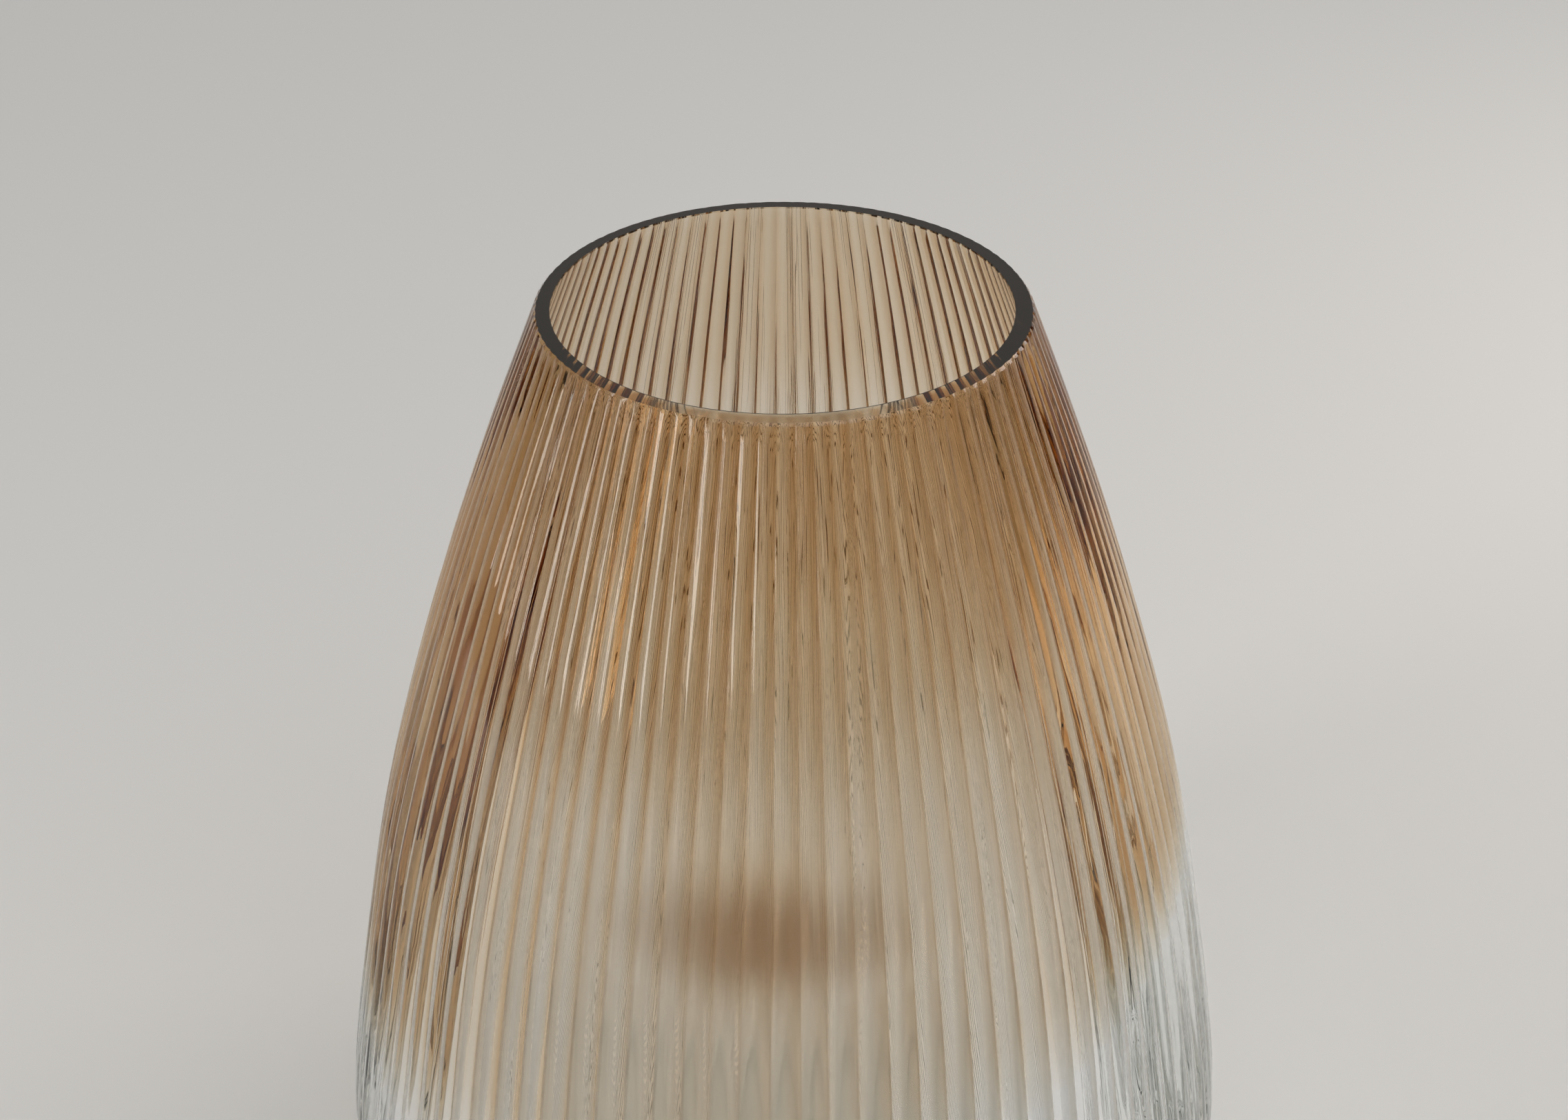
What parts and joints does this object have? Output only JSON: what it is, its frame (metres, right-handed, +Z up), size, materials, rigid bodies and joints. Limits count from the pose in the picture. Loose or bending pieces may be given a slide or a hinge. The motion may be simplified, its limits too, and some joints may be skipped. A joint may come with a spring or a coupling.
{
  "type": "blown glass vase",
  "caption": "Tall tear-shaped vase in cased glass, amber at the mouth fading to clear, with a finely reeded outer wall, a cut and ground rim and a thick clear base",
  "frame": {"origin": "centre of the foot, on the surface the vase stands on", "axes": "+Z up along the vase's axis, from the foot to the mouth; +X to the right and +Y to the back as it is usually seen; mould seams at the front and the back"},
  "size_m": [0.213, 0.213, 0.28],
  "materials": {
    "clear_glass": "fire polished, reeded by an optic mould, with a ground rim",
    "amber_glass": "smooth amber gather lining the upper half",
    "base_glass": "thick clear glass, polished hollow underneath"
  },
  "bodies": {
    "root": {"clear_body_gather": "clear_glass", "amber_gather": "amber_glass", "clear_base_gather": "base_glass"}
  },
  "joints": []
}
